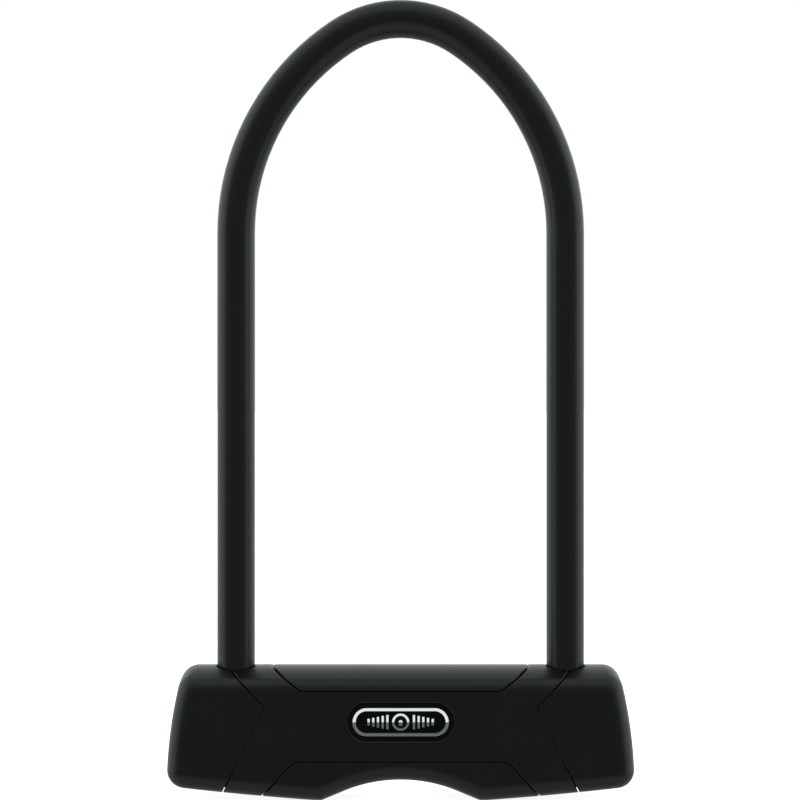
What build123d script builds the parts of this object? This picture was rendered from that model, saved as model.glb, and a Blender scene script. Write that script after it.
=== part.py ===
"""U lock: a round steel shackle with a vinyl skin, and a crossbar that bolts both of its legs.

The crossbar is a steel case tube inside moulded black panels.  A disc detainer cylinder in its
middle turns a scroll cam, which throws one bolt into a notch in each shackle leg.
Everything is in millimetres.  X runs along the crossbar, Y from front (-) to back (+), Z up the
legs.  The lowest point of the crossbar is at Z = 0, and the shackle is at rest fully pushed in,
unlocked, with both bolts drawn back.
"""
import math
import os

from build123d import *

# ---------------------------------------------------------------- driving dimensions
# Shackle
LEG_X = 60.66                # half the distance between the leg centres
CORE_R = 6.0                 # 12 mm hardened steel bar
SKIN_R = 6.95                # outside of the vinyl skin
LEG_TIP_Z = 16.0             # lower end of the legs
SKIN_START_Z = 43.2          # the skin stops just above the steel case
BEND_Z = 207.36              # the straight legs end here
SIDE_BEND_R = 86.93          # centre line radius of each shoulder
SIDE_BEND_ANGLE = 56.28      # degrees turned by each shoulder
TIP_CONE = 1.6               # lead-in chamfer on each leg's end
NOTCH_FACE_X = 60.0          # flat of the bolt notch, cut from the inner side of a leg
NOTCH_Z = (29.9, 39.5)

# Crossbar outline, front view
BAR_TOP = 48.3
BAR_DEPTH = 32.0
TOP_HALF = 79.3              # half length at the top
WAIST = (83.75, 27.0)        # a point half way down the curved end
LOW_CORNER = (85.4, 5.1)     # lower outer corner
BELLY_MID = (54.0, 1.85)     # a point on the shallow belly curve
FOOT_X = (28.8, 31.3)        # the short flat foot beside the arch
FOOT_ROUND = 2.0
ARCH_APEX = 7.45             # relief under the key cylinder
ARCH_R = 54.5
ARCH_HALF = 21.0             # half width of the round part of the arch
CROWN_R = 26.0               # cross section of the top
CROWN_SHARE = 0.7            # half width of the crown tool, as a share of its radius
UPRIGHT_ROUND = 7.2          # vertical corners of the ends
TOP_ROUND = 6.4              # all round the top
LOW_ROUND = 6.6              # all round the underside
PAST = 10.0                  # how far a cutting tool runs past what it cuts
NEAR = 0.001                 # places closer than this are the same place
CLOSE = 1.0                  # and within this they belong to the same feature

# Seams between the moulded panels, front view
SEAM_GAP = 0.36
SEAM_ROUND = 0.3             # softened edge of each panel
SPLIT_GAP = 0.2              # between the front and back shells
CAP_SEAM = ((67.5, 52.4), (49.3, 34.3), (69.7, -6.0))
CAP_SEAM_ROUND = 2.5
TRIM_TOP_SEAM = ((36.1, 40.4), (53.2, 52.4))
TRIM_TOP_ROUND = 1.5
TRIM_LOW_SEAM = ((38.7, 14.6), (57.5, -6.0))
TRIM_LOW_ROUND = 6.0
TONGUE_REACH = 2.0           # the shells lap this far behind the other panels
TONGUE_SKIN = 1.0            # and stay this far inside the outline
TONGUE_HALF = 5.0            # half of a tongue's depth, front to back
TONGUE_FIT = 0.1
TONGUE_ROOT = 0.6            # how deep a tongue is rooted in its shell
LEG_CLEAR_R = 10.0           # no tongue comes nearer to a leg

# Steel case tube inside the panels
CASE_HALF = 76.0
CASE_Y = 13.0
CASE_Z = (11.5, 42.0)
CASE_ROUND = 3.0
CAVITY_ROUND = 1.0
CAVITY_Y = 10.7
CAVITY_Z = (14.0, 39.5)
CASE_FIT = 0.15              # panels stand this far off the case
INSERT_FIT = 0.1             # inserts stand this far off the cavity

# Leg sockets inside the case
SOCKET_X = (42.0, 75.6)
BORE_R = 6.3
BORE_FLOOR_Z = 15.6
HOLE_R = 7.65                # hole through the panels
HOLE_CHAMFER = 0.5
PIN_R = 1.5
PIN_X = 71.0
PIN_Z = 27.0
PIN_HALF = 12.9
PIN_CHAMFER = 0.3
PRESS = 0.03                 # modelled clearance of a press fit
SEAL_R = (6.15, 6.7)         # dust seal round each leg, on top of the case
SEAL_Z = (42.05, 43.1)

# Bolts
BOLT_Y = 5.5
BOLT_Z = (30.2, 39.2)
BOLT_X = (11.0, 54.2)        # at rest, drawn back
BOLT_FIT = 0.15
TAIL_X = 1.2
TAIL_Z = 34.9
BOLT_TRAVEL = 5.4
BOLT_PIN_R = 1.25
BOLT_PIN_X = 2.9
BOLT_PIN_Z = (32.4, 36.9)
BOLT_LEAD = 0.8              # chamfer on the bolt's nose

# Drive cam
CAM_R = 10.4
CAM_Z = (30.3, 34.7)
CAM_TURN = 120.0             # degrees of key travel
SCROLL_HALF = 1.35           # half width of a scroll slot
SCROLL_FLOOR_Z = 32.2
SCROLL_STEPS = 6
TANG = (8.0, 3.2)
TANG_FIT = 0.1

# Lock cylinder, turning about the Z axis
HOUSING_R = 8.5
HOUSING_Z = (8.6, 29.4)
HOUSING_BORE_R = 6.6
GROOVE_DEPTH = 0.9           # sidebar groove in the housing
CYLINDER_PIN_R = 1.2
CYLINDER_PIN = (-8.9, 22.0)  # X and Z of the pin that holds the housing
LIP_R = 5.9
LIP_Z = 10.2
FLANGE_R = 9.6
FLANGE_Z = (14.0, 16.0)
HOUSING_FIT = 0.2
PLUG_R = 6.5
PLUG_BORE_R = 5.5
PLUG_Z = (11.25, 31.5)
PLUG_FLOOR_Z = 28.0
PLUG_NECK_R = 5.4
NECK_Z = (29.45, 30.25)
FACE_Z = (8.9, 10.25, 11.2)  # face, shoulder and back of the keyhole disc
FACE_R = 5.75
FACE_CHAMFER = 0.25
KEYWAY = (2.4, 6.6)
INNER_R = 5.45
SHUTTER_FRAME_Z = (11.25, 15.0)
SHUTTER_POCKET = (-2.6, 1.7, 3.75)
GUARD_Z = (15.0, 16.2)
DISC_COUNT = 7
DISC_T = 1.15
SPACER_T = 0.5
SPACER_SLOT = 1.0            # the spacers' slots are this much larger than the keyway
STACK_Z = 16.25
STACK_GAP = 0.02
SIDEBAR = (1.3, 11.4)        # width and length
SIDEBAR_R = (4.3, 6.35)      # from the gates of the discs out to the plug's surface
GATE_R = 4.2
CLIP_Z = (29.5, 30.1)
CLIP_R = (5.5, 7.6)
CLIP_MOUTH = 5.0

# Keyhole shutter
SHUTTER_AXIS = (-1.75, 11.95)    # X and Z of its pin
SHUTTER_PIN_R = 0.4
SHUTTER_PIN_HALF = 4.5
FLAP_REACH = 3.0
FLAP_HALF = 3.5
FLAP_T = 0.5
KNUCKLE_R = 0.62
KNUCKLE_HALF = 1.9
SPRING_WIRE_R = 0.12
SPRING_TURNS = 4
SPRING_R = 0.58
SPRING_PITCH = 0.3
SPRING_Y = 2.15

# Keyhole escutcheon
ESCUTCHEON_R = (8.7, 10.5)
ESCUTCHEON_Z = (8.3, 9.4)
ESCUTCHEON_ROUND = 0.4
COUNTERBORE_R = 10.6

# Badge on the front
BADGE_Z = 29.24
RECESS = (38.6, 13.9)
RECESS_DEPTH = 0.8
RECESS_ROUND = 0.5
BEZEL = (34.9, 10.2)
BEZEL_INNER = (32.6, 8.0)
BADGE_T = 0.25               # black plate that covers the floor of the recess
BEZEL_T = 0.54
EMBLEM_T = 0.45
BEZEL_ROUND = 0.12
FACET_TILT = 4.0             # degrees; the bright work slopes back above and below its middle
EMBLEM_R = 3.1
EMBLEM_STROKE = 0.8
KEYHOLE_R = 0.75
KEYHOLE_FOOT = 1.3
KEYHOLE_TALL = 1.05
KEYHOLE_SLOPE = 78           # degrees
BAR_COUNT = 5
BAR_PITCH = 1.7
BAR_TALL = 5.2
BAR_STEP = 0.7
BADGE_FIT = 0.04

FRONT_Y = -BAR_DEPTH / 2
os.makedirs("parts", exist_ok=True)


# ---------------------------------------------------------------- shared shapes
def save(part, name):
    """Label one finished piece and write it."""
    part.label = name
    export_step(part, f"parts/{name}.step")


def arc_drop(radius, half):
    """Height lost by an arc of this radius over half its chord."""
    return radius - math.sqrt(radius**2 - half**2)


def arch_mid():
    """A point half way along the arch's right half."""
    half = ARCH_HALF / 2
    return (half, ARCH_APEX - arc_drop(ARCH_R, half))


def crossbar_outline():
    """Front view of the whole crossbar."""
    arch_end = (ARCH_HALF, ARCH_APEX - arc_drop(ARCH_R, ARCH_HALF))
    foot_start = (FOOT_X[0], 0)
    foot_end = (FOOT_X[1], 0)
    with BuildSketch(Plane.XZ) as front:
        with BuildLine():
            ThreePointArc((0, ARCH_APEX), arch_mid(), arch_end)
            Polyline(arch_end, foot_start, foot_end)
            ThreePointArc(foot_end, BELLY_MID, LOW_CORNER)
            ThreePointArc(LOW_CORNER, WAIST, (TOP_HALF, BAR_TOP))
            Line((TOP_HALF, BAR_TOP), (0, BAR_TOP))
            mirror(about=Plane.YZ)
        make_face()
        feet = front.vertices().filter_by(lambda v: abs(abs(v.X) - FOOT_X[0]) < NEAR)
        fillet(feet, FOOT_ROUND)
    return front.sketch


def crown_section():
    """Cross section with a rounded top, larger than the crossbar elsewhere."""
    half = CROWN_R * CROWN_SHARE
    shoulder = BAR_TOP - arc_drop(CROWN_R, half)
    with BuildSketch(Plane.YZ.offset(-TOP_HALF - PAST)) as section:
        with BuildLine():
            crown = ThreePointArc((-half, shoulder), (0, BAR_TOP), (half, shoulder))
            Polyline(crown @ 1, (half, -PAST), (-half, -PAST), crown @ 0)
        make_face()
    return section.sketch


def upright_corners(body):
    """The four curved corners between the ends and the front and back."""
    return body.edges().filter_by(
        lambda e: abs(e.center().X) > TOP_HALF and abs(e.center().Y) > BAR_DEPTH / 2 - CLOSE
    )


def underside_edges(body):
    """The closed loop of edges round the underside."""
    inside = LOW_CORNER[0] - CLOSE
    return body.edges().filter_by(
        lambda e: e.center().Z < ARCH_APEX + CLOSE
        and not (abs(e.center().Y) < CLOSE and abs(e.center().X) < inside)
    )


def build_envelope():
    """Outside of the crossbar as one closed solid, before it is divided into panels."""
    with BuildPart() as body:
        extrude(crossbar_outline(), amount=BAR_DEPTH / 2, both=True)
        fillet(upright_corners(body), UPRIGHT_ROUND)
        extrude(crown_section(), amount=2 * (TOP_HALF + PAST), mode=Mode.INTERSECT)
        fillet(body.faces().sort_by(Axis.Z)[-1].edges(), TOP_ROUND)
        fillet(underside_edges(body), LOW_ROUND)
    return body.part


# ---------------------------------------------------------------- seams and cutting tools
def front_prism(profile):
    """A front-view profile pushed right through the crossbar."""
    with BuildPart() as prism:
        extrude(profile, amount=BAR_DEPTH, both=True)
    return prism.part


def cap_region(side, grow=0.0):
    """Everything outside the pointed seam of one end cap; side is -1 or +1."""
    top, point, low = CAP_SEAM
    far = LOW_CORNER[0] + PAST
    corners = [top, point, low, (far, low[1]), (far, top[1])]
    with BuildSketch(Plane.XZ) as region:
        with BuildLine():
            Polyline([(side * x, z) for x, z in corners], close=True)
        make_face()
        tip = region.vertices().filter_by(lambda v: abs(abs(v.X) - point[0]) < NEAR)
        fillet(tip, CAP_SEAM_ROUND)
        if grow:
            offset(amount=grow)
    return region.sketch


def trim_region(seam, rounding, grow=0.0):
    """Trapezium of the top or the bottom trim, given the right half of its seam."""
    near, far = seam
    with BuildSketch(Plane.XZ) as region:
        with BuildLine():
            Polyline((-far[0], far[1]), (-near[0], near[1]), near, far, close=True)
        make_face()
        bends = region.vertices().filter_by(lambda v: abs(abs(v.X) - near[0]) < NEAR)
        fillet(bends, rounding)
        if grow:
            offset(amount=grow)
    return region.sketch


def case_block(grow=0.0):
    """Solid outside of the case tube, grown for the hollow that the panels leave."""
    height = CASE_Z[1] - CASE_Z[0]
    with BuildPart() as block:
        with BuildSketch(Plane.YZ.offset(-CASE_HALF - grow)):
            with Locations((0, CASE_Z[0] + height / 2)):
                RectangleRounded(2 * (CASE_Y + grow), height + 2 * grow, CASE_ROUND + grow)
        extrude(amount=2 * (CASE_HALF + grow))
    return block.part


def leg_holes(radius):
    """A round tool about each leg, from the top of the case up through the top."""
    with BuildPart() as holes:
        with BuildSketch(Plane.XY.offset(CASE_Z[1])):
            with Locations((-LEG_X, 0), (LEG_X, 0)):
                Circle(radius)
        extrude(amount=PAST)
    return holes.part


def is_hole_mouth(edge):
    """Whether an edge runs all round the mouth of a leg hole."""
    middle = edge.bounding_box().center()
    in_line = abs(abs(middle.X) - LEG_X) < CLOSE and abs(middle.Y) < CLOSE
    return in_line and middle.Z > CASE_Z[1] + NEAR


def round_seams(panel, skin):
    """Soften the edges that dividing the crossbar left on the outside of a panel."""
    old = skin.edges()
    surface = skin.shells()[0]
    fillet([e for e in panel.edges() if is_seam(e, old, surface)], SEAM_ROUND)


def is_seam(edge, old, surface):
    """Whether an edge is new and lies on the outer surface."""
    is_old = any((edge.center() - other.center()).length < NEAR for other in old)
    return not is_old and surface.distance_to(Vertex(*(edge @ 0.5))) < NEAR


def panel_prisms(grow):
    """All four trims and caps in front view, grown or shrunk, pushed through the crossbar."""
    with BuildPart() as prisms:
        add(front_prism(trim_region(TRIM_TOP_SEAM, TRIM_TOP_ROUND, grow)))
        add(front_prism(trim_region(TRIM_LOW_SEAM, TRIM_LOW_ROUND, grow)))
        for side in (-1, 1):
            add(front_prism(cap_region(side, grow)))
    return prisms.part


def tongues(fit):
    """Ribs of the shells that close the seams from inside; fit grows them into their grooves."""
    with BuildPart() as ribs:
        with BuildSketch(Plane.XZ):
            add(crossbar_outline())
            offset(amount=fit - TONGUE_SKIN)
        extrude(amount=TONGUE_HALF + fit, both=True)
        add(panel_prisms(SEAM_GAP + TONGUE_ROOT), mode=Mode.INTERSECT)
        add(panel_prisms(-TONGUE_REACH - fit), mode=Mode.SUBTRACT)
        add(leg_holes(LEG_CLEAR_R - fit), mode=Mode.SUBTRACT)
    return ribs.part


def half_space(side):
    """A block behind (+1) or in front of (-1) the plane where the two shells meet."""
    with BuildPart() as block:
        with BuildSketch(Plane.XZ.offset(side * SPLIT_GAP / 2)):
            Rectangle(4 * BAR_DEPTH * PAST, 4 * BAR_DEPTH)
        extrude(amount=-side * 2 * BAR_DEPTH)
    return block.part


# ---------------------------------------------------------------- crossbar panels
with BuildPart() as drilled:
    add(build_envelope())
    add(leg_holes(HOLE_R), mode=Mode.SUBTRACT)
    chamfer(drilled.edges().filter_by(is_hole_mouth), HOLE_CHAMFER)
bar = drilled.part
hollow = case_block(CASE_FIT)
grooves = tongues(TONGUE_FIT)

with BuildPart() as top_trim:
    add(bar)
    add(front_prism(trim_region(TRIM_TOP_SEAM, TRIM_TOP_ROUND)), mode=Mode.INTERSECT)
    round_seams(top_trim, bar)
    add(grooves, mode=Mode.SUBTRACT)
    add(hollow, mode=Mode.SUBTRACT)
save(top_trim.part, "top_trim")

with BuildPart() as key_hole:
    with BuildSketch(Plane.XY):
        Circle(HOUSING_R + HOUSING_FIT)
    extrude(amount=CASE_Z[1])
    with BuildSketch(Plane.XY):
        Circle(COUNTERBORE_R)
    extrude(amount=ESCUTCHEON_Z[1])

with BuildPart() as bottom_trim:
    add(bar)
    add(front_prism(trim_region(TRIM_LOW_SEAM, TRIM_LOW_ROUND)), mode=Mode.INTERSECT)
    round_seams(bottom_trim, bar)
    add(grooves, mode=Mode.SUBTRACT)
    add(hollow, mode=Mode.SUBTRACT)
    add(key_hole.part, mode=Mode.SUBTRACT)
save(bottom_trim.part, "bottom_trim")

for side, name in ((-1, "end_cap_left"), (1, "end_cap_right")):
    with BuildPart() as end_cap:
        add(bar)
        add(front_prism(cap_region(side)), mode=Mode.INTERSECT)
        round_seams(end_cap, bar)
        add(grooves, mode=Mode.SUBTRACT)
        add(hollow, mode=Mode.SUBTRACT)
    save(end_cap.part, name)

with BuildPart() as badge_recess:
    with BuildSketch(Plane.XZ.offset(-FRONT_Y - RECESS_DEPTH)):
        with Locations((0, BADGE_Z)):
            SlotOverall(*RECESS)
    extrude(amount=PAST)

with BuildPart() as shell_ring:
    add(bar)
    add(panel_prisms(SEAM_GAP), mode=Mode.SUBTRACT)
    round_seams(shell_ring, bar)
    add(tongues(0.0))
    add(hollow, mode=Mode.SUBTRACT)

with BuildPart() as front_shell:
    add(shell_ring.part)
    add(half_space(1), mode=Mode.SUBTRACT)
    add(badge_recess.part, mode=Mode.SUBTRACT)
    face = front_shell.faces().filter_by(Axis.Y).sort_by(Axis.Y)[0]
    fillet(face.inner_wires()[0].edges(), RECESS_ROUND)
save(front_shell.part, "front_shell")

with BuildPart() as back_shell:
    add(shell_ring.part)
    add(half_space(-1), mode=Mode.SUBTRACT)
save(back_shell.part, "back_shell")

# ---------------------------------------------------------------- crossbar hardware
def cross_pins(radius, half, places):
    """Round pins lying along Y, given as (X, Z) places."""
    with BuildPart() as pins:
        with BuildSketch(Plane.XZ):
            with Locations(*places):
                Circle(radius)
        extrude(amount=half, both=True)
    return pins.part


def disc(radius, low, high):
    """A plain round block about the Z axis."""
    with BuildPart() as block:
        with BuildSketch(Plane.XY.offset(low)):
            Circle(radius)
        extrude(amount=high - low)
    return block.part


def other_side(part):
    """The same piece on the left."""
    with BuildPart() as left:
        mirror(part, about=Plane.YZ)
    return left.part


cavity_mid = (CAVITY_Z[0] + CAVITY_Z[1]) / 2
cavity_height = CAVITY_Z[1] - CAVITY_Z[0]
socket_pin_places = [(-PIN_X, PIN_Z), (PIN_X, PIN_Z)]
leg_places = [(-LEG_X, 0), (LEG_X, 0)]

with BuildPart() as case_tube:
    add(case_block())
    with BuildSketch(Plane.YZ.offset(-CASE_HALF)):
        with Locations((0, cavity_mid)):
            RectangleRounded(2 * CAVITY_Y, cavity_height, CAVITY_ROUND)
    extrude(amount=2 * CASE_HALF, mode=Mode.SUBTRACT)
    with BuildSketch(Plane.XY.offset(cavity_mid)):
        with Locations(*leg_places):
            Circle(BORE_R)
    extrude(amount=BAR_DEPTH, mode=Mode.SUBTRACT)
    with BuildSketch(Plane.XY):
        Circle(HOUSING_R + HOUSING_FIT)
    extrude(amount=cavity_mid, mode=Mode.SUBTRACT)
    add(cross_pins(PIN_R + PRESS, BAR_DEPTH, socket_pin_places), mode=Mode.SUBTRACT)
    add(cross_pins(CYLINDER_PIN_R + PRESS, BAR_DEPTH, [CYLINDER_PIN]), mode=Mode.SUBTRACT)
save(case_tube.part, "case_tube")

with BuildPart() as leg_socket:
    with BuildSketch(Plane.YZ.offset(SOCKET_X[0])):
        with Locations((0, cavity_mid)):
            RectangleRounded(
                2 * (CAVITY_Y - INSERT_FIT), cavity_height - 2 * INSERT_FIT, CAVITY_ROUND
            )
    extrude(amount=SOCKET_X[1] - SOCKET_X[0])
    with BuildSketch(Plane.XY.offset(BORE_FLOOR_Z)):
        with Locations((LEG_X, 0)):
            Circle(BORE_R)
    extrude(amount=BAR_DEPTH, mode=Mode.SUBTRACT)
    with BuildSketch(Plane.XY.offset(BOLT_Z[0] - BOLT_FIT)):
        with Locations((LEG_X, 0)):
            Rectangle(
                2 * (LEG_X - SOCKET_X[0]),
                2 * (BOLT_Y + BOLT_FIT),
                align=(Align.MAX, Align.CENTER),
            )
    extrude(amount=BAR_DEPTH, mode=Mode.SUBTRACT)
    add(cross_pins(PIN_R + PRESS, BAR_DEPTH, socket_pin_places), mode=Mode.SUBTRACT)
save(leg_socket.part, "leg_socket_right")
save(other_side(leg_socket.part), "leg_socket_left")

with BuildPart() as socket_pins:
    add(cross_pins(PIN_R, PIN_HALF, socket_pin_places))
    chamfer(socket_pins.edges().filter_by(GeomType.CIRCLE), PIN_CHAMFER)
save(socket_pins.part, "socket_pins")

with BuildPart() as leg_seals:
    with BuildSketch(Plane.XY.offset(SEAL_Z[0])):
        with Locations(*leg_places):
            Circle(SEAL_R[1])
            Circle(SEAL_R[0], mode=Mode.SUBTRACT)
    extrude(amount=SEAL_Z[1] - SEAL_Z[0])
save(leg_seals.part, "leg_seals")

# ---------------------------------------------------------------- lock cylinder, fixed pieces
with BuildPart() as cylinder_housing:
    add(disc(HOUSING_R, *HOUSING_Z))
    add(disc(FLANGE_R, *FLANGE_Z))
    add(disc(LIP_R, HOUSING_Z[0], HOUSING_Z[1]), mode=Mode.SUBTRACT)
    add(disc(HOUSING_BORE_R, LIP_Z, HOUSING_Z[1]), mode=Mode.SUBTRACT)
    with BuildSketch(Plane.XY.offset(STACK_Z)):
        with Locations((0, HOUSING_BORE_R)):
            Rectangle(SIDEBAR[0] + 2 * BOLT_FIT, 2 * GROOVE_DEPTH)
    extrude(amount=HOUSING_Z[1] - STACK_Z, mode=Mode.SUBTRACT)
    add(cross_pins(CYLINDER_PIN_R + PRESS, BAR_DEPTH, [CYLINDER_PIN]), mode=Mode.SUBTRACT)
save(cylinder_housing.part, "cylinder_housing")

with BuildPart() as cylinder_pin:
    add(cross_pins(CYLINDER_PIN_R, PIN_HALF, [CYLINDER_PIN]))
    chamfer(cylinder_pin.edges().filter_by(GeomType.CIRCLE), PIN_CHAMFER)
save(cylinder_pin.part, "cylinder_pin")

with BuildPart() as keyhole_escutcheon:
    add(disc(ESCUTCHEON_R[1], *ESCUTCHEON_Z))
    add(disc(ESCUTCHEON_R[0], *ESCUTCHEON_Z), mode=Mode.SUBTRACT)
    fillet(keyhole_escutcheon.faces().sort_by(Axis.Z)[0].edges(), ESCUTCHEON_ROUND)
save(keyhole_escutcheon.part, "keyhole_escutcheon")


# ---------------------------------------------------------------- lock cylinder, turning pieces
def keyway(low, high, grow=0.0):
    """The long slot that the key passes through, lying along Y."""
    with BuildPart() as slot:
        with BuildSketch(Plane.XY.offset(low)):
            SlotOverall(KEYWAY[1] + grow, KEYWAY[0] + grow, rotation=90)
        extrude(amount=high - low)
    return slot.part


def gated_disc(low, thick, slot_grow):
    """One disc of the stack, with its gate facing the sidebar."""
    with BuildPart() as gated:
        add(disc(INNER_R, low, low + thick))
        add(keyway(low, low + thick, slot_grow), mode=Mode.SUBTRACT)
        with BuildSketch(Plane.XY.offset(low)):
            with Locations((0, GATE_R)):
                Rectangle(
                    SIDEBAR[0] + BOLT_FIT, 2 * GATE_R, align=(Align.CENTER, Align.MIN)
                )
        extrude(amount=thick, mode=Mode.SUBTRACT)
    return gated.part


with BuildPart() as keyhole_face:
    add(disc(FACE_R, FACE_Z[0], FACE_Z[1]))
    add(disc(PLUG_R, FACE_Z[1], FACE_Z[2]))
    add(keyway(FACE_Z[0], FACE_Z[2]), mode=Mode.SUBTRACT)
    chamfer(keyhole_face.faces().sort_by(Axis.Z)[0].edges(), FACE_CHAMFER)
save(keyhole_face.part, "keyhole_face")

shutter_pin_place = [SHUTTER_AXIS]
pocket_left, pocket_right, pocket_half = SHUTTER_POCKET
with BuildPart() as shutter_frame:
    add(disc(INNER_R, *SHUTTER_FRAME_Z))
    with BuildSketch(Plane.XY.offset(SHUTTER_FRAME_Z[0])):
        with Locations(((pocket_left + pocket_right) / 2, 0)):
            Rectangle(pocket_right - pocket_left, 2 * pocket_half)
    extrude(amount=BAR_DEPTH, mode=Mode.SUBTRACT)
    add(
        cross_pins(SHUTTER_PIN_R + PRESS, SHUTTER_PIN_HALF + PRESS, shutter_pin_place),
        mode=Mode.SUBTRACT,
    )
save(shutter_frame.part, "shutter_frame")
save(cross_pins(SHUTTER_PIN_R, SHUTTER_PIN_HALF, shutter_pin_place), "shutter_pin")

with BuildPart() as shutter_spring:
    coil = Helix(
        pitch=SPRING_PITCH,
        height=SPRING_PITCH * SPRING_TURNS,
        radius=SPRING_R,
        center=(SHUTTER_AXIS[0], SPRING_Y, SHUTTER_AXIS[1]),
        direction=(0, 1, 0),
    )
    with BuildSketch(Plane(origin=coil @ 0, z_dir=coil % 0)):
        Circle(SPRING_WIRE_R)
    sweep(path=coil, is_frenet=True)
save(shutter_spring.part, "shutter_spring")

axis_x, axis_z = SHUTTER_AXIS
with BuildPart() as keyhole_shutter:
    with BuildSketch(Plane.XY.offset(axis_z - KNUCKLE_R)):
        with Locations((axis_x + FLAP_REACH, 0)):
            Rectangle(
                FLAP_REACH - KNUCKLE_R - BOLT_FIT, 2 * FLAP_HALF, align=(Align.MAX, Align.CENTER)
            )
            Rectangle(FLAP_REACH, 2 * KNUCKLE_HALF, align=(Align.MAX, Align.CENTER))
    extrude(amount=FLAP_T)
    add(cross_pins(KNUCKLE_R, KNUCKLE_HALF, shutter_pin_place))
    add(
        cross_pins(SHUTTER_PIN_R + PRESS, KNUCKLE_HALF, shutter_pin_place),
        mode=Mode.SUBTRACT,
    )
save(keyhole_shutter.part, "keyhole_shutter")

with BuildPart() as drill_guard:
    add(disc(INNER_R, *GUARD_Z))
    add(keyway(*GUARD_Z), mode=Mode.SUBTRACT)
save(drill_guard.part, "drill_guard")

pitch = DISC_T + SPACER_T + 2 * STACK_GAP
with BuildPart() as detainer_discs:
    for index in range(DISC_COUNT):
        add(gated_disc(STACK_Z + index * pitch, DISC_T, 0.0))
save(detainer_discs.part, "detainer_discs")

with BuildPart() as disc_spacers:
    for index in range(DISC_COUNT - 1):
        low = STACK_Z + index * pitch + DISC_T + STACK_GAP
        add(gated_disc(low, SPACER_T, SPACER_SLOT))
save(disc_spacers.part, "disc_spacers")

with BuildPart() as sidebar:
    with BuildSketch(Plane.XY.offset(STACK_Z)):
        with Locations((0, SIDEBAR_R[0])):
            Rectangle(
                SIDEBAR[0], SIDEBAR_R[1] - SIDEBAR_R[0], align=(Align.CENTER, Align.MIN)
            )
    extrude(amount=SIDEBAR[1])
save(sidebar.part, "sidebar")

with BuildPart() as cylinder_plug:
    add(disc(PLUG_R, PLUG_Z[0], NECK_Z[0]))
    add(disc(PLUG_NECK_R, *NECK_Z))
    with BuildSketch(Plane.XY.offset(NECK_Z[1])):
        Rectangle(*TANG)
    extrude(amount=PLUG_Z[1] - NECK_Z[1])
    add(disc(PLUG_BORE_R, PLUG_Z[0], PLUG_FLOOR_Z), mode=Mode.SUBTRACT)
    with BuildSketch(Plane.XY.offset(STACK_Z - STACK_GAP)):
        with Locations((0, PLUG_R)):
            Rectangle(SIDEBAR[0] + STACK_GAP, 2 * (PLUG_R - GATE_R))
    extrude(amount=SIDEBAR[1] + 2 * STACK_GAP, mode=Mode.SUBTRACT)
save(cylinder_plug.part, "cylinder_plug")

with BuildPart() as plug_clip:
    add(disc(CLIP_R[1], *CLIP_Z))
    add(disc(CLIP_R[0], *CLIP_Z), mode=Mode.SUBTRACT)
    with BuildSketch(Plane.XY.offset(CLIP_Z[0])):
        with Locations((0, -CLIP_R[1])):
            Rectangle(CLIP_MOUTH, 2 * CLIP_R[1])
    extrude(amount=BAR_DEPTH, mode=Mode.SUBTRACT)
save(plug_clip.part, "plug_clip")


# ---------------------------------------------------------------- drive cam and bolts
def scroll_point(turn, shift):
    """A point shifted sideways off the scroll's centre line, after turn degrees."""
    gain = BOLT_TRAVEL / math.radians(CAM_TURN)
    angle = math.radians(turn)
    radius = BOLT_PIN_X + gain * angle
    out = Vector(math.cos(-angle), math.sin(-angle))
    around = Vector(math.sin(-angle), -math.cos(-angle))
    along = (out * gain + around * radius).normalized()
    side = Vector(-along.Y, along.X)
    return out * radius + side * shift


def scroll_tip(turn, sign):
    """The outermost point of the round end of a scroll slot."""
    middle = scroll_point(turn, 0)
    side = scroll_point(turn, SCROLL_HALF) - middle
    return middle + Vector(side.Y, -side.X) * sign


def scroll_slot():
    """One scroll slot, from the rest place of the right-hand bolt pin."""
    turns = [CAM_TURN * step / SCROLL_STEPS for step in range(SCROLL_STEPS + 1)]
    with BuildPart() as slot:
        with BuildSketch(Plane.XY.offset(SCROLL_FLOOR_Z)):
            with BuildLine():
                near = Spline([scroll_point(turn, SCROLL_HALF) for turn in turns])
                far = Spline([scroll_point(turn, -SCROLL_HALF) for turn in turns])
                ThreePointArc(near @ 0, scroll_tip(turns[0], -1), far @ 0)
                ThreePointArc(near @ 1, scroll_tip(turns[-1], 1), far @ 1)
            make_face()
        extrude(amount=BAR_DEPTH)
    return slot.part


with BuildPart() as drive_cam:
    add(disc(CAM_R, *CAM_Z))
    with BuildSketch(Plane.XY.offset(CAM_Z[0])):
        Rectangle(TANG[0] + 2 * TANG_FIT, TANG[1] + 2 * TANG_FIT)
    extrude(amount=PLUG_Z[1] + TANG_FIT - CAM_Z[0], mode=Mode.SUBTRACT)
    add(scroll_slot(), mode=Mode.SUBTRACT)
    add(scroll_slot().rotate(Axis.Z, 180), mode=Mode.SUBTRACT)
save(drive_cam.part, "drive_cam")

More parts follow.
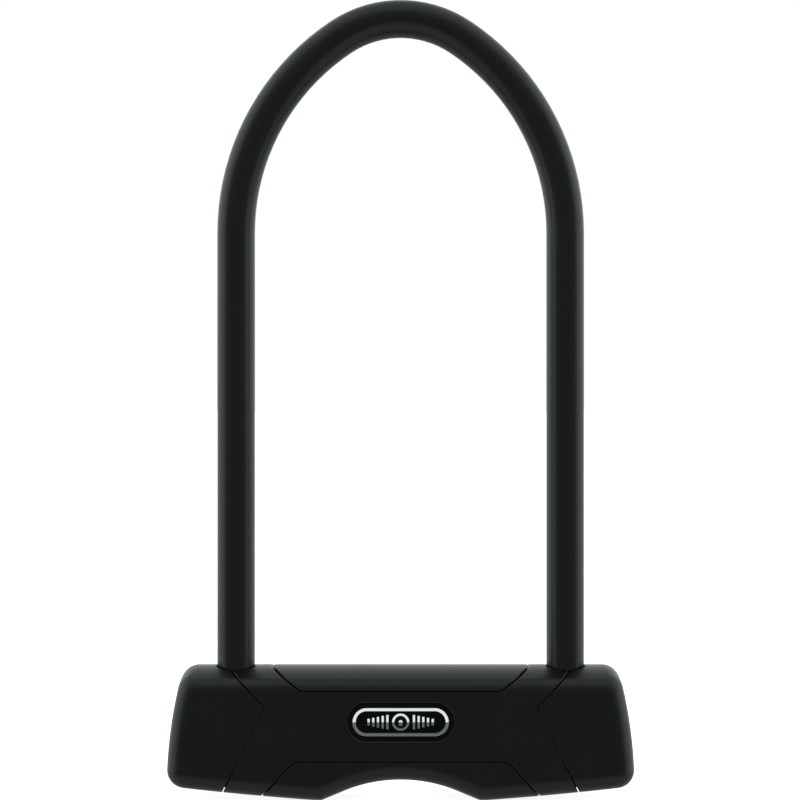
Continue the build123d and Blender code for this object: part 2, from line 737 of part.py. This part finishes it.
bolt_pin_place = (BOLT_PIN_X, 0)
with BuildPart() as bolt:
    with BuildSketch(Plane.XZ):
        with BuildLine():
            Polyline(
                (TAIL_X, TAIL_Z),
                (BOLT_X[0], TAIL_Z),
                (BOLT_X[0], BOLT_Z[0]),
                (BOLT_X[1], BOLT_Z[0]),
                (BOLT_X[1], BOLT_Z[1]),
                (TAIL_X, BOLT_Z[1]),
                close=True,
            )
        make_face()
    extrude(amount=BOLT_Y, both=True)
    chamfer(bolt.faces().sort_by(Axis.X)[-1].edges(), BOLT_LEAD)
    with BuildSketch(Plane.XY.offset(BOLT_Z[0])):
        with Locations(bolt_pin_place):
            Circle(BOLT_PIN_R + PRESS)
    extrude(amount=BOLT_PIN_Z[1] + PRESS - BOLT_Z[0], mode=Mode.SUBTRACT)
save(bolt.part, "bolt_right")
save(other_side(bolt.part), "bolt_left")

with BuildPart() as bolt_pin:
    with BuildSketch(Plane.XY.offset(BOLT_PIN_Z[0])):
        with Locations(bolt_pin_place):
            Circle(BOLT_PIN_R)
    extrude(amount=BOLT_PIN_Z[1] - BOLT_PIN_Z[0])
save(bolt_pin.part, "bolt_pin_right")
save(other_side(bolt_pin.part), "bolt_pin_left")

# ---------------------------------------------------------------- badge
recess_floor = FRONT_Y + RECESS_DEPTH


def facet_wedge(front):
    """A long roof lying on its side, with its ridge across the middle of the badge."""
    drop = RECESS[1] * math.tan(math.radians(FACET_TILT))
    with BuildPart() as wedge:
        with BuildSketch(Plane.YZ.offset(-RECESS[0])):
            with BuildLine():
                Polyline(
                    (front, BADGE_Z),
                    (front + drop, BADGE_Z + RECESS[1]),
                    (0, BADGE_Z + RECESS[1]),
                    (0, BADGE_Z - RECESS[1]),
                    (front + drop, BADGE_Z - RECESS[1]),
                    close=True,
                )
            make_face()
        extrude(amount=2 * RECESS[0])
    return wedge.part


def is_rim(edge):
    """Whether an edge borders the bezel's two facets and isn't their shared ridge."""
    return abs(edge.center().Z - BADGE_Z) > NEAR


with BuildPart() as badge_plate:
    with BuildSketch(Plane.XZ.offset(-recess_floor)):
        with Locations((0, BADGE_Z)):
            SlotOverall(RECESS[0] - 2 * BADGE_FIT, RECESS[1] - 2 * BADGE_FIT)
    extrude(amount=BADGE_T)
save(badge_plate.part, "badge_plate")

with BuildPart() as badge_bezel:
    with BuildSketch(Plane.XZ.offset(BADGE_T - recess_floor)):
        with Locations((0, BADGE_Z)):
            SlotOverall(*BEZEL)
            SlotOverall(*BEZEL_INNER, mode=Mode.SUBTRACT)
    extrude(amount=BEZEL_T)
    add(facet_wedge(recess_floor - BADGE_T - BEZEL_T), mode=Mode.INTERSECT)
    facets = badge_bezel.faces().sort_by(Axis.Y)[:2]
    fillet(facets.edges().filter_by(is_rim), BEZEL_ROUND)
save(badge_bezel.part, "badge_bezel")

with BuildPart() as badge_emblem:
    with BuildSketch(Plane.XZ.offset(BADGE_T - recess_floor)):
        with Locations((0, BADGE_Z)):
            Circle(EMBLEM_R)
            Circle(EMBLEM_R - EMBLEM_STROKE, mode=Mode.SUBTRACT)
            Circle(KEYHOLE_R)
        with Locations((0, BADGE_Z - KEYHOLE_R)):
            Trapezoid(KEYHOLE_FOOT, KEYHOLE_TALL, KEYHOLE_SLOPE)
        for index in range(BAR_COUNT):
            place = EMBLEM_R + BAR_PITCH * (index + 1)
            height = BAR_TALL - index * BAR_STEP
            for side in (-1, 1):
                with Locations((side * place, BADGE_Z)):
                    Rectangle(EMBLEM_STROKE, height)
    extrude(amount=EMBLEM_T)
    add(facet_wedge(recess_floor - BADGE_T - EMBLEM_T), mode=Mode.INTERSECT)
save(badge_emblem.part, "badge_emblem")

# ---------------------------------------------------------------- shackle
def shackle_path(start):
    """Centre line of the shackle, with its legs starting at this height."""
    crown_turn = 180 - 2 * SIDE_BEND_ANGLE
    reach = LEG_X - SIDE_BEND_R * (1 - math.cos(math.radians(SIDE_BEND_ANGLE)))
    crown_radius = reach / math.sin(math.radians(crown_turn / 2))
    with BuildLine(Plane.XZ) as path:
        left = Line((-LEG_X, start), (-LEG_X, BEND_Z))
        rise = JernArc(left @ 1, left % 1, SIDE_BEND_R, -SIDE_BEND_ANGLE)
        crown = JernArc(rise @ 1, rise % 1, crown_radius, -crown_turn)
        fall = JernArc(crown @ 1, crown % 1, SIDE_BEND_R, -SIDE_BEND_ANGLE)
        Line(fall @ 1, (LEG_X, start))
    return path.wire()


with BuildPart() as shackle_core:
    with BuildSketch(Plane.XY.offset(LEG_TIP_Z)):
        with Locations((-LEG_X, 0)):
            Circle(CORE_R)
    sweep(path=shackle_path(LEG_TIP_Z))
    chamfer(shackle_core.edges().group_by(Axis.Z)[0], TIP_CONE)
    with BuildSketch(Plane.XY.offset(NOTCH_Z[0])):
        Rectangle(2 * NOTCH_FACE_X, BAR_DEPTH)
    extrude(amount=NOTCH_Z[1] - NOTCH_Z[0], mode=Mode.SUBTRACT)
save(shackle_core.part, "shackle_core")

with BuildPart() as shackle_coating:
    with BuildSketch(Plane.XY.offset(SKIN_START_Z)):
        with Locations((-LEG_X, 0)):
            Circle(SKIN_R)
            Circle(CORE_R + PRESS, mode=Mode.SUBTRACT)
    sweep(path=shackle_path(SKIN_START_Z))
save(shackle_coating.part, "shackle_coating")
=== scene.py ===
"""Looks of the U lock: materials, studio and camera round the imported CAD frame.  Metres throughout."""

import math

import bpy
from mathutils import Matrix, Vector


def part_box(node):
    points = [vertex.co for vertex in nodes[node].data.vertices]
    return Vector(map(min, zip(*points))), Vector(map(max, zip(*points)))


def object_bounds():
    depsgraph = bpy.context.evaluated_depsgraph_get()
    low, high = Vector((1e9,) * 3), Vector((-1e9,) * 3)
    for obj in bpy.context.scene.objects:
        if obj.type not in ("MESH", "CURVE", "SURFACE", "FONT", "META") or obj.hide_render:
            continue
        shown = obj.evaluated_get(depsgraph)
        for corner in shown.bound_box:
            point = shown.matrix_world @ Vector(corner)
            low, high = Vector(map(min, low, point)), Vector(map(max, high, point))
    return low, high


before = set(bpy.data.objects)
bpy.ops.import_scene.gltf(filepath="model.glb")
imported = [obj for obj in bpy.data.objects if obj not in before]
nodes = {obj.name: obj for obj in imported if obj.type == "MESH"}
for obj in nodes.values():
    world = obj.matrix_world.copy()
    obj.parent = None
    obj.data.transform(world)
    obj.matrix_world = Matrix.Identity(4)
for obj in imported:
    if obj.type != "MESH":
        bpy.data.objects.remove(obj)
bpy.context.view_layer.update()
lock_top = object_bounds()[1].z

MM = 0.001
WHITE = (1, 1, 1, 1)

# The camera
VIEW_DISTANCE = 0.85
VIEW_HEIGHT = 0.295              # what the view takes in at the lock
SENSOR_WIDTH = 36.0              # in millimetres, as Blender counts it
EYE_ASIDE = -0.24 * MM
EYE_BELOW_TOP = 147.4 * MM       # under the top of the shackle

# How bright the studio is, from straight down (place 0) over level (0.5) to straight up (1)
FRONT_LEVELS = [(0.0, 0.50), (0.12, 0.50), (0.22, 0.43), (0.29, 0.28), (0.36, 0.15), (0.43, 0.21),
                (0.56, 0.23), (0.67, 0.23), (0.83, 0.38), (0.94, 0.68), (1.0, 0.72)]
TENT_LEVELS = [(0.0, 0.42), (0.32, 0.48), (0.46, 0.77), (0.50, 0.78), (0.56, 0.97), (0.66, 1.0),
               (0.74, 0.96), (0.88, 0.76), (1.0, 0.72)]
TENT_EDGE = (-0.58, -0.12)       # where the dark front gives way to the tent, along Y
TENT_TINT = (0.91, 0.975, 1.0, 1)
WALL_GAIN = (0.94, 1.25)         # how much brighter it gets from the middle to either side
REAR_GAIN = (1.0, 0.86)          # how much darker it gets towards straight behind
REAR_START = 0.2                 # where that begins, along Y

# The floor
FLOOR_REACH = 30.0               # from the middle to each edge
FLOOR_GLOW = 0.9

# The strip light for the badge
CARD_SIZE = (0.9, 0.26)
CARD_POWER = 0.56                # in watts
CARD_DISTANCE = 1.3
CARD_RISE = 0.03                 # above the middle of the badge

RING_WAVES = 42000.0             # radians a metre: a turned ring about every 0.15 mm

SHADER_SOCKETS = {
    "base_color": "Base Color",
    "metallic": "Metallic",
    "roughness": "Roughness",
    "specular": "Specular IOR Level",
    "normal": "Normal",
    "emission_color": "Emission Color",
    "emission_strength": "Emission Strength",
}


# ---------------------------------------------------------------- camera
def add_camera():
    """A long lens, level with the middle of the lock and square to its front."""
    cam = bpy.data.cameras.new("camera")
    cam.sensor_width = SENSOR_WIDTH
    cam.lens = cam.sensor_width * VIEW_DISTANCE / VIEW_HEIGHT
    eye = bpy.data.objects.new("camera", cam)
    eye.location = (EYE_ASIDE, -VIEW_DISTANCE, lock_top - EYE_BELOW_TOP)
    eye.rotation_euler = (math.pi / 2, 0, 0)
    bpy.context.scene.collection.objects.link(eye)
    bpy.context.scene.camera = eye


# ---------------------------------------------------------------- node helpers
class Nodes:
    """A short way to write a node tree, for a material or for the world."""

    def __init__(self, tree):
        self.tree = tree
        tree.nodes.clear()

    def add(self, kind, inputs=None, **settings):
        """One node, with its settings, and inputs given as values or as other nodes' outputs."""
        node = self.tree.nodes.new(kind)
        for name, value in settings.items():
            setattr(node, name, value)
        for name, value in (inputs or {}).items():
            self.feed(node.inputs[name], value)
        return node

    def feed(self, socket, value):
        """Link an output, or set a plain value."""
        if isinstance(value, bpy.types.NodeSocket):
            self.tree.links.new(value, socket)
        else:
            socket.default_value = value

    def noise(self, at, scale, detail=2.0, rough=0.5):
        """Noise from 0 to 1."""
        inputs = {"Vector": at, "Scale": scale, "Detail": detail, "Roughness": rough}
        return self.add("ShaderNodeTexNoise", inputs).outputs["Fac"]

    def spread(self, value, low, high, start=0.3, end=0.7):
        """Map a value from start..end to low..high, and hold it there beyond them."""
        inputs = {"Value": value, "From Min": start, "From Max": end, "To Min": low, "To Max": high}
        return self.add("ShaderNodeMapRange", inputs).outputs["Result"]

    def math(self, operation, a, b=0.0):
        """One operation on one or two values."""
        return self.add("ShaderNodeMath", {0: a, 1: b}, operation=operation).outputs[0]

    def mix(self, factor, a, b):
        """A colour between two colours."""
        node = self.add("ShaderNodeMix", data_type="RGBA")
        self.feed(node.inputs["Factor"], factor)
        self.feed(node.inputs["A"], a)
        self.feed(node.inputs["B"], b)
        return node.outputs["Result"]

    def ramp(self, value, stops):
        """A grey level that follows stops of (place, level), each from 0 to 1."""
        node = self.add("ShaderNodeValToRGB", {"Fac": value})
        marks = node.color_ramp.elements
        while len(marks) < len(stops):
            marks.new(0.5)
        for mark, (place, level) in zip(marks, stops):
            mark.position = place
            mark.color = (level, level, level, 1)
        return node.outputs["Color"]

    def stretch(self, at, scale):
        """Coordinates scaled unevenly."""
        return self.add("ShaderNodeMapping", {"Vector": at, "Scale": scale}).outputs["Vector"]

    def bump(self, heights, depth, strength):
        """A normal from heights of 0 to 1, over a depth in metres."""
        inputs = {"Height": heights, "Distance": depth, "Strength": strength}
        return self.add("ShaderNodeBump", inputs).outputs["Normal"]

    def finish(self, **inputs):
        """The surface shader and the material's output."""
        shader = self.add("ShaderNodeBsdfPrincipled")
        for name, value in inputs.items():
            self.feed(shader.inputs[SHADER_SOCKETS[name]], value)
        out = self.add("ShaderNodeOutputMaterial")
        self.tree.links.new(shader.outputs["BSDF"], out.inputs["Surface"])


def new_material(name):
    """An empty material and the helper for its nodes, with the object's own coordinates."""
    material = bpy.data.materials.new(name)
    material.use_nodes = True
    made = Nodes(material.node_tree)
    at = made.add("ShaderNodeTexCoord").outputs["Object"]
    return material, made, at


def opaque(tint, share=1.0):
    """A tint as a full colour, darkened to a share of itself."""
    return tuple(c * share for c in tint) + (1,)


# ---------------------------------------------------------------- materials
def moulded_black():
    """Soft-touch black moulding: fine spark-eroded grain, slow changes in gloss."""
    material, n, at = new_material("moulded_black")
    grain = n.noise(at, scale=5200.0, detail=3.0, rough=0.6)
    clouds = n.noise(at, scale=45.0, detail=3.0)
    colour = n.mix(clouds, opaque((0.0034, 0.0054, 0.0062)), opaque((0.0044, 0.0066, 0.0074)))
    rough = n.math("ADD", n.spread(clouds, low=0.25, high=0.29), n.spread(grain, low=-0.02, high=0.02))
    normal = n.bump(grain, depth=0.012 * MM, strength=0.5)
    n.finish(base_color=colour, roughness=rough, specular=0.46, normal=normal)
    return material


def vinyl_skin():
    """Smooth satin vinyl drawn over the bar, with faint streaks along the legs."""
    material, n, at = new_material("vinyl_skin")
    streaks = n.noise(n.stretch(at, scale=(1, 1, 0.02)), scale=900.0)
    clouds = n.noise(at, scale=60.0, detail=3.0)
    grain = n.noise(at, scale=3800.0)
    colour = n.mix(clouds, opaque((0.0036, 0.0060, 0.0066)), opaque((0.0048, 0.0074, 0.0082)))
    rough = n.math("ADD", n.spread(clouds, low=0.22, high=0.26), n.spread(streaks, low=-0.02, high=0.02))
    streak_share, grain_share = 0.4, 0.6
    heights = n.math("ADD", n.math("MULTIPLY", streaks, streak_share),
                     n.math("MULTIPLY", grain, grain_share))
    normal = n.bump(heights, depth=0.008 * MM, strength=0.4)
    n.finish(base_color=colour, roughness=rough, specular=0.52, normal=normal)
    return material


def chrome():
    """Bright plate with hairline scratches."""
    material, n, at = new_material("badge_chrome")
    hairs = n.noise(n.stretch(at, scale=(0.05, 1, 1)), scale=9000.0)
    tint = n.mix(n.noise(at, scale=300.0), opaque((0.80, 0.82, 0.83)), opaque((0.88, 0.89, 0.90)))
    normal = n.bump(hairs, depth=0.001 * MM, strength=0.3)
    n.finish(base_color=tint, metallic=1.0, roughness=n.spread(hairs, low=0.08, high=0.14), normal=normal)
    return material


def gloss_black():
    """The badge's lacquered ground."""
    material, n, at = new_material("badge_black")
    flecks = n.noise(at, scale=7000.0, detail=1.0)
    colour = n.mix(flecks, opaque((0.0015, 0.0015, 0.0016)), opaque((0.003, 0.003, 0.0032)))
    n.finish(base_color=colour, roughness=n.spread(flecks, low=0.16, high=0.22), specular=0.2)
    return material


def ground_steel(name, tint, marks=(1, 1, 0.03), rough=(0.22, 0.36)):
    """Steel with fine grinding marks; marks says how the marks are drawn out along each axis."""
    material, n, at = new_material(name)
    lines = n.noise(n.stretch(at, scale=marks), scale=2500.0, detail=3.0, rough=0.6)
    clouds = n.noise(at, scale=120.0, detail=3.0)
    colour = n.mix(clouds, opaque(tint, share=0.86), opaque(tint))
    normal = n.bump(lines, depth=0.004 * MM, strength=0.5)
    n.finish(base_color=colour, metallic=1.0, roughness=n.spread(lines, *rough), normal=normal)
    return material


def turned_metal(name, tint):
    """Metal faced on a lathe: fine rings about the cylinder's axis, and lines round its side."""
    material, n, at = new_material(name)
    place = n.add("ShaderNodeSeparateXYZ", {"Vector": at})
    x, y, z = (place.outputs[axis] for axis in "XYZ")
    radius = n.math("SQRT", n.math("ADD", n.math("MULTIPLY", x, x), n.math("MULTIPLY", y, y)))
    rings = n.math("SINE", n.math("MULTIPLY", n.math("ADD", radius, z), RING_WAVES))
    drift = n.noise(at, scale=500.0, detail=3.0)
    ring_share = 0.3
    heights = n.math("ADD", n.math("MULTIPLY", rings, ring_share), drift)
    colour = n.mix(drift, opaque(tint, share=0.85), opaque(tint))
    normal = n.bump(heights, depth=0.003 * MM, strength=0.5)
    n.finish(base_color=colour, metallic=1.0, roughness=n.spread(drift, low=0.16, high=0.3),
             normal=normal)
    return material


def cast_alloy():
    """Die-cast alloy with a slightly frosted skin."""
    material, n, at = new_material("cast_alloy")
    frost = n.noise(at, scale=1800.0, detail=4.0, rough=0.65)
    colour = n.mix(frost, opaque((0.34, 0.345, 0.35)), opaque((0.47, 0.475, 0.48)))
    n.finish(base_color=colour, metallic=0.9, roughness=n.spread(frost, low=0.42, high=0.6),
             normal=n.bump(frost, depth=0.02 * MM, strength=0.5))
    return material


def seal_rubber():
    """Matt rubber with a dusty bloom."""
    material, n, at = new_material("seal_rubber")
    bloom = n.noise(at, scale=700.0, detail=4.0)
    colour = n.mix(bloom, opaque((0.008, 0.008, 0.008)), opaque((0.016, 0.016, 0.017)))
    n.finish(base_color=colour, roughness=n.spread(bloom, low=0.7, high=0.85), specular=0.3,
             normal=n.bump(bloom, depth=0.01 * MM, strength=0.5))
    return material


def paint(material, *names):
    """Give CAD nodes a material."""
    for name in names:
        mesh = nodes[name].data
        mesh.materials.clear()
        mesh.materials.append(material)


def paint_all():
    """Every CAD node's material."""
    paint(moulded_black(), "front_shell", "back_shell", "end_cap_left", "end_cap_right",
          "top_trim", "bottom_trim")
    paint(vinyl_skin(), "shackle_coating")
    paint(chrome(), "badge_bezel", "badge_emblem")
    paint(gloss_black(), "badge_plate")
    paint(ground_steel("hardened_steel", (0.40, 0.40, 0.41)), "shackle_core", "drill_guard")
    across = ground_steel("bolt_steel", (0.42, 0.42, 0.43), marks=(0.03, 1, 1))
    paint(across, "bolt_left", "bolt_right", "sidebar")
    phosphated = ground_steel("case_steel", (0.12, 0.12, 0.125), marks=(0.2, 1, 1), rough=(0.4, 0.55))
    paint(phosphated, "case_tube")
    paint(cast_alloy(), "leg_socket_left", "leg_socket_right")
    paint(seal_rubber(), "leg_seals")
    bright = turned_metal("turned_steel", (0.55, 0.55, 0.56))
    paint(bright, "keyhole_face", "keyhole_escutcheon", "drive_cam", "plug_clip", "socket_pins",
          "cylinder_pin", "shutter_pin", "shutter_spring", "keyhole_shutter", "bolt_pin_left",
          "bolt_pin_right")
    brass = turned_metal("turned_brass", (0.72, 0.52, 0.24))
    paint(brass, "cylinder_housing", "cylinder_plug", "detainer_discs", "disc_spacers",
          "shutter_frame")


# ---------------------------------------------------------------- studio
def add_floor():
    """A wide white sweep under the lock, glowing until its shadows all but vanish."""
    mesh = bpy.data.meshes.new("floor")
    corners = [(-FLOOR_REACH, -FLOOR_REACH, 0), (FLOOR_REACH, -FLOOR_REACH, 0),
               (FLOOR_REACH, FLOOR_REACH, 0), (-FLOOR_REACH, FLOOR_REACH, 0)]
    mesh.from_pydata(corners, [], [(0, 1, 2, 3)])
    floor = bpy.data.objects.new("floor", mesh)
    bpy.context.scene.collection.objects.link(floor)
    floor.visible_glossy = False
    floor.visible_diffuse = False
    material, n, at = new_material("floor_paper")
    fibres = n.noise(at, scale=350.0, detail=4.0)
    colour = n.mix(fibres, opaque((0.90, 0.90, 0.90)), opaque((0.94, 0.94, 0.94)))
    n.finish(base_color=colour, roughness=0.9, specular=0.1,
             emission_color=WHITE, emission_strength=FLOOR_GLOW)
    mesh.materials.append(material)


def studio_light():
    """A light tent: bright beside, behind and above the lock, dark on the camera's side.

    What the camera sees past the lock and the floor is plain white.
    """
    world = bpy.data.worlds.new("studio")
    bpy.context.scene.world = world
    world.use_nodes = True
    n = Nodes(world.node_tree)
    way = n.add("ShaderNodeTexCoord").outputs["Generated"]
    axes = n.add("ShaderNodeSeparateXYZ", {"Vector": way})
    side, back, up = (axes.outputs[axis] for axis in "XYZ")
    height_share = n.spread(up, low=0.0, high=1.0, start=-1.0, end=1.0)
    front = n.ramp(height_share, FRONT_LEVELS)
    tent = n.ramp(height_share, TENT_LEVELS)
    walls = n.spread(n.math("ABSOLUTE", side), *WALL_GAIN, start=0.0, end=1.0)
    rear = n.spread(back, *REAR_GAIN, start=REAR_START, end=1.0)
    opening = n.spread(back, low=0.0, high=1.0, start=TENT_EDGE[0], end=TENT_EDGE[1])
    shade = n.math("MULTIPLY", walls, rear)
    light = n.math("MULTIPLY", n.mix(opening, front, tent), shade)
    seen = n.add("ShaderNodeLightPath").outputs["Is Camera Ray"]
    sky = n.add("ShaderNodeBackground", {"Color": TENT_TINT, "Strength": light})
    white = n.add("ShaderNodeBackground", {"Color": WHITE, "Strength": 1.0})
    both = n.add("ShaderNodeMixShader", {"Fac": seen, 1: sky.outputs[0], 2: white.outputs[0]})
    out = n.add("ShaderNodeOutputWorld")
    n.tree.links.new(both.outputs["Shader"], out.inputs["Surface"])


def badge_card():
    """A strip light in front, a little above the badge, that only its bright work reflects."""
    light = bpy.data.lights.new("badge_card", "AREA")
    light.shape = "RECTANGLE"
    light.size, light.size_y = CARD_SIZE
    light.energy = CARD_POWER
    lamp = bpy.data.objects.new("badge_card", light)
    bezel_low, bezel_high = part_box("badge_bezel")
    middle = (bezel_low + bezel_high) / 2
    lamp.location = (0, -CARD_DISTANCE, middle.z + CARD_RISE)
    lamp.rotation_euler = (middle - lamp.location).to_track_quat("-Z", "Y").to_euler()
    lamp.visible_camera = False
    bpy.context.scene.collection.objects.link(lamp)
    lit = bpy.data.collections.new("badge_card_lights")
    for name in ("badge_bezel", "badge_emblem"):
        lit.objects.link(nodes[name])
    lamp.light_linking.receiver_collection = lit


add_camera()
paint_all()
add_floor()
studio_light()
badge_card()

scene = bpy.context.scene
scene.view_settings.view_transform = "Standard"
scene.view_settings.look = "None"
